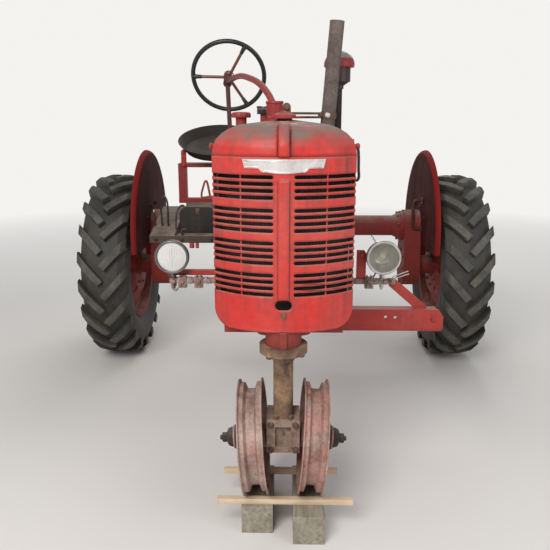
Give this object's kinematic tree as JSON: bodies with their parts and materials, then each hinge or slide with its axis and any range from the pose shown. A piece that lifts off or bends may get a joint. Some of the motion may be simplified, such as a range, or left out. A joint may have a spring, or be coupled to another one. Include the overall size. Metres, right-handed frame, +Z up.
{
  "type": "vintage tractor",
  "caption": "Old red row-crop tractor on wooden blocks under two bare front rims set close together, with seat and steering wheel offset to its right",
  "frame": {"origin": "bottom centre of the whole tractor's box, on the floor that its rear tyres and wooden blocks stand on", "axes": "+Z up, front towards -Y, the tractor's own left towards +X"},
  "size_m": [2.2458, 2.5929, 1.814],
  "materials": {
    "bright_paint": "faded gloss",
    "dull_paint": "dull and dusty",
    "grey_paint": "dull and dusty",
    "dark_metal": "matte",
    "worn_steel": "tarnished",
    "rusty_iron": "rusty",
    "rusty_paint": "faded and rusty",
    "tyre": "dusty",
    "grey_wood": "weathered",
    "pale_wood": "sawn",
    "lens_glass": "dusty",
    "black_plastic": "worn"
  },
  "bodies": {
    "chassis": {"front_bolster": "dull_paint", "grille_shell": "bright_paint", "nose_plate": "worn_steel", "hood": "bright_paint", "radiator": "dark_metal", "fan_drive": "dark_metal", "engine_block": "dull_paint", "cylinder_head": "dull_paint", "oil_pan": "dull_paint", "manifold": "rusty_iron", "exhaust_stack": "rusty_iron", "air_cleaner": "dark_metal", "pre_cleaner": "worn_steel", "magneto": "dark_metal", "fuel_tank": "dull_paint", "filler_caps": "bright_paint", "clutch_housing": "dull_paint", "gearbox_case": "dull_paint", "axle_housing_left": "dull_paint", "axle_housing_right": "dull_paint", "final_drive_left": "dull_paint", "final_drive_right": "dull_paint", "drawbar": "dull_paint", "platform": "dark_metal", "side_box": "dark_metal", "seat_support": "dull_paint", "seat_pan": "grey_paint", "steering_column": "dull_paint", "pedals": "dull_paint", "fenders": "dull_paint", "lamp_bar": "rusty_iron", "lamps": "worn_steel", "lamp_lenses": "lens_glass", "carrier_frame": "bright_paint"},
    "steered_front": {"pedestal": "rusty_iron", "knuckle": "rusty_iron", "stand_blocks": "grey_wood", "battens": "pale_wood"},
    "front_rim_left": {"front_rim_left": "rusty_paint"},
    "front_rim_right": {"front_rim_right": "rusty_paint"},
    "rear_wheel_left": {"rear_wheel_left": "dull_paint", "rear_tyre_left": "tyre"},
    "rear_wheel_right": {"rear_wheel_right": "dull_paint", "rear_tyre_right": "tyre"},
    "steering_wheel": {"steering_wheel": "black_plastic"}
  },
  "joints": [
    {"name": "steering_pivot", "type": "hinge", "parent": "chassis", "child": "steered_front", "pos_m": [0, -1.1415, 0.5], "axis": [0, 0, 1], "range_deg": [-60, 60]},
    {"name": "steering_wheel_turn", "type": "hinge", "parent": "chassis", "child": "steering_wheel", "pos_m": [-0.31, 0.4545, 1.63], "axis": [0, 0.891, 0.454], "range_deg": [-480, 480]},
    {"name": "front_rim_left_spin", "type": "hinge", "parent": "steered_front", "child": "front_rim_left", "pos_m": [0.104, -1.1055, 0.31177], "axis": [0.9976, 0, -0.0698], "continuous": true},
    {"name": "front_rim_right_spin", "type": "hinge", "parent": "steered_front", "child": "front_rim_right", "pos_m": [-0.104, -1.1055, 0.31177], "axis": [0.9976, 0, 0.0698], "continuous": true},
    {"name": "rear_wheel_left_spin", "type": "hinge", "parent": "chassis", "child": "rear_wheel_left", "pos_m": [0.99, 0.6645, 0.54], "axis": [1, 0, 0], "continuous": true},
    {"name": "rear_wheel_right_spin", "type": "hinge", "parent": "chassis", "child": "rear_wheel_right", "pos_m": [-0.99, 0.6645, 0.54], "axis": [1, 0, 0], "continuous": true}
  ],
  "couplings": [
    {"joint": "steering_wheel_turn", "follows": "steering_pivot", "ratio": 8}
  ]
}
